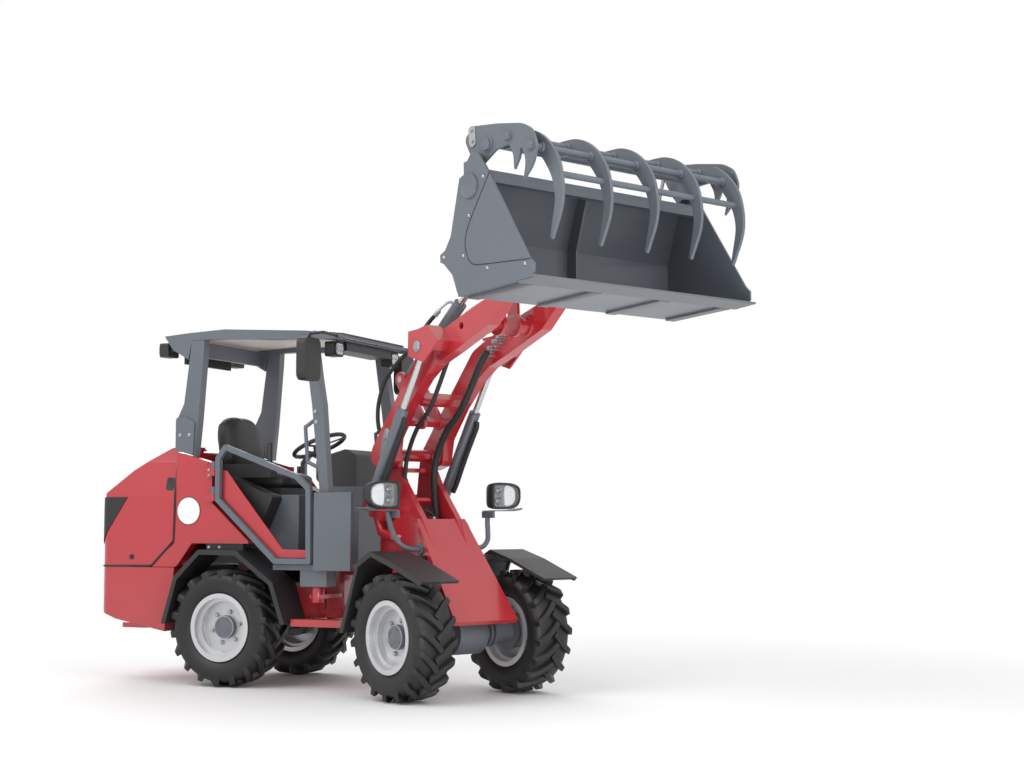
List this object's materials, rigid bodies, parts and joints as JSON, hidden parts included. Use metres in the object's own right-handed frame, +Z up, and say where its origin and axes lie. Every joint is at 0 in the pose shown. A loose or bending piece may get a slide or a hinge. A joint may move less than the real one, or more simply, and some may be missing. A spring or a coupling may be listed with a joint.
{
  "type": "compact wheel loader",
  "caption": "Compact articulated wheel loader with open canopy, raised lift arm with parallel linkage, and a bucket closed from above by a toothed grab.",
  "frame": {"origin": "On the ground, under the middle of the whole machine's bounding box, wheels standing on Z = 0.", "axes": "+X is the rear half's driving direction, +Y its left side and +Z up; the front half is steered to the right."},
  "size_m": [4.5982, 2.5816, 3.1503],
  "materials": {
    "axle_grey": "painted casting",
    "black_plastic": "grained black plastic",
    "bright_steel": "ground steel",
    "bush_brass": "bearing bronze",
    "engine_iron": "raw casting",
    "grey_paint": "satin blue-grey enamel",
    "lens": "clear lens",
    "red_paint": "satin red enamel",
    "rim_silver": "silver paint",
    "seat_vinyl": "black grained vinyl over foam",
    "tyre": "black rubber",
    "white_panel": "off-white moulded panel",
    "worn_steel": "worn dark steel"
  },
  "bodies": {
    "rear_half": {"rear_frame": "red_paint", "engine_block": "engine_iron", "rear_axle": "axle_grey", "rear_ballast": "red_paint", "body_sides": "red_paint", "rear_mudguards": "black_plastic", "cab_tub": "grey_paint", "dashboard": "black_plastic", "seat_carrier": "black_plastic", "seat_cushion": "seat_vinyl", "seat_back": "seat_vinyl", "rear_posts": "grey_paint", "front_posts": "grey_paint", "roof_rails": "grey_paint", "roof_panel": "white_panel", "roof_visor": "black_plastic", "work_lamps": "black_plastic", "work_lamp_lenses": "lens", "mirrors": "black_plastic", "plate_holder": "black_plastic"},
    "hood": {"hood_shell": "red_paint", "hood_grille": "black_plastic"},
    "door_right": {"door_right_frame": "grey_paint", "door_right_panel": "red_paint"},
    "door_left": {"door_left_frame": "grey_paint", "door_left_panel": "red_paint"},
    "front_half": {"front_frame": "red_paint", "front_axle": "axle_grey", "front_mudguards": "black_plastic", "headlamp_stays": "grey_paint", "headlamps": "black_plastic", "headlamp_lenses": "lens"},
    "arm": {"lift_arm": "red_paint", "lever_bush": "bush_brass", "hitch_pins": "bright_steel", "tilt_pin": "bright_steel"},
    "lift_cylinder_barrels": {"lift_barrels": "grey_paint"},
    "lift_cylinder_rods": {"lift_rods": "bright_steel"},
    "tilt_cylinder_barrel": {"tilt_barrel": "grey_paint"},
    "tilt_cylinder_rod": {"tilt_rod": "bright_steel"},
    "lever": {"tilt_lever": "grey_paint", "link_pin": "bright_steel"},
    "link": {"tilt_link": "grey_paint"},
    "bucket": {"quick_hitch": "grey_paint", "bucket_shell": "grey_paint", "cutting_edge": "worn_steel"},
    "grab": {"grab_frame": "grey_paint"},
    "grab_cylinder_barrels": {"grab_barrels": "worn_steel"},
    "grab_cylinder_rods": {"grab_rods": "bright_steel"},
    "wheel_rear_right": {"tyre_rear_right": "tyre", "rim_rear_right": "rim_silver"},
    "wheel_rear_left": {"tyre_rear_left": "tyre", "rim_rear_left": "rim_silver"},
    "wheel_front_right": {"tyre_front_right": "tyre", "rim_front_right": "rim_silver"},
    "wheel_front_left": {"tyre_front_left": "tyre", "rim_front_left": "rim_silver"}
  },
  "joints": [
    {"name": "steer", "type": "hinge", "parent": "rear_half", "child": "front_half", "pos_m": [-0.30911, 0.55981, 0.58], "axis": [0, 0, 1], "range_deg": [-15.26, 68.74]},
    {"name": "rear_right_spin", "type": "hinge", "parent": "rear_half", "child": "wheel_rear_right", "pos_m": [-1.17411, 0.12231, 0.375], "axis": [0, 1, 0], "continuous": true},
    {"name": "rear_left_spin", "type": "hinge", "parent": "rear_half", "child": "wheel_rear_left", "pos_m": [-1.17411, 0.99731, 0.375], "axis": [0, 1, 0], "continuous": true},
    {"name": "front_right_spin", "type": "hinge", "parent": "front_half", "child": "wheel_front_right", "pos_m": [0.25935, -0.21654, 0.375], "axis": [0.45, 0.893, 0], "continuous": true},
    {"name": "front_left_spin", "type": "hinge", "parent": "front_half", "child": "wheel_front_left", "pos_m": [0.65309, 0.56487, 0.375], "axis": [0.45, 0.893, 0], "continuous": true},
    {"name": "hood_open", "type": "hinge", "parent": "rear_half", "child": "hood", "pos_m": [-1.54511, 0.55981, 1.52], "axis": [0, 1, 0], "range_deg": [0, 55]},
    {"name": "door_right_open", "type": "hinge", "parent": "rear_half", "child": "door_right", "pos_m": [-1.25311, 0.03981, 1.3], "axis": [0, 0, -1], "range_deg": [0, 105]},
    {"name": "door_left_open", "type": "hinge", "parent": "rear_half", "child": "door_left", "pos_m": [-1.25311, 1.07981, 1.3], "axis": [0, 0, 1], "range_deg": [0, 105]},
    {"name": "lift", "type": "hinge", "parent": "front_half", "child": "arm", "pos_m": [-0.00101, 0.40456, 1.46], "axis": [-0.45, -0.893, 0], "range_deg": [-55, 12]},
    {"name": "lift_barrel_swing", "type": "hinge", "parent": "front_half", "child": "lift_cylinder_barrels", "pos_m": [-0.06799, 0.43831, 1.15], "axis": [-0.45, -0.893, 0], "range_deg": [-41.75, 9.5]},
    {"name": "lift_rod_stroke", "type": "slide", "parent": "lift_cylinder_barrels", "child": "lift_cylinder_rods", "axis": [0.466, -0.2348, 0.8531], "range_m": [-0.16903, 0.03844]},
    {"name": "tilt_barrel_swing", "type": "hinge", "parent": "arm", "child": "tilt_cylinder_barrel", "pos_m": [-0.04567, 0.42706, 1.945], "axis": [0.45, 0.893, 0], "range_deg": [-6, 11.75]},
    {"name": "tilt_rod_stroke", "type": "slide", "parent": "tilt_cylinder_barrel", "child": "tilt_cylinder_rod", "axis": [0.6948, -0.3501, 0.6283], "range_m": [-0.13831, 0.28082]},
    {"name": "lever_swing", "type": "hinge", "parent": "arm", "child": "lever", "pos_m": [0.82951, -0.01393, 2.211], "axis": [0.45, 0.893, 0], "range_deg": [-22.5, 45.5]},
    {"name": "link_swing", "type": "hinge", "parent": "lever", "child": "link", "pos_m": [0.817, -0.00763, 2.507], "axis": [0.45, 0.893, 0], "range_deg": [-45.5, 22.5]},
    {"name": "tilt", "type": "hinge", "parent": "arm", "child": "bucket", "pos_m": [1.20012, -0.20067, 2.415], "axis": [0.45, 0.893, 0], "range_deg": [-22, 45]},
    {"name": "grab_open", "type": "hinge", "parent": "bucket", "child": "grab", "pos_m": [1.45463, -0.32892, 2.96], "axis": [-0.45, -0.893, 0], "range_deg": [-14, 60]},
    {"name": "grab_barrel_swing", "type": "hinge", "parent": "bucket", "child": "grab_cylinder_barrels", "pos_m": [1.23048, -0.21597, 2.463], "axis": [-0.45, -0.893, 0], "range_deg": [-2.6, 9.5]},
    {"name": "grab_rod_stroke", "type": "slide", "parent": "grab_cylinder_barrels", "child": "grab_cylinder_rods", "axis": [0.2606, -0.1313, 0.9565], "range_m": [-0.14075, 0.03438]}
  ],
  "couplings": [
    {"joint": "lift_barrel_swing", "follows": "lift", "ratio": 0.75},
    {"joint": "lift_rod_stroke", "follows": "lift", "m_per_rad": 0.174},
    {"joint": "tilt_barrel_swing", "follows": "tilt", "ratio": 0.25},
    {"joint": "tilt_rod_stroke", "follows": "tilt", "m_per_rad": 0.355},
    {"joint": "lever_swing", "follows": "tilt", "ratio": 1},
    {"joint": "link_swing", "follows": "tilt", "ratio": -1},
    {"joint": "grab_barrel_swing", "follows": "grab_open", "ratio": 0.15},
    {"joint": "grab_rod_stroke", "follows": "grab_open", "m_per_rad": -0.1325}
  ]
}
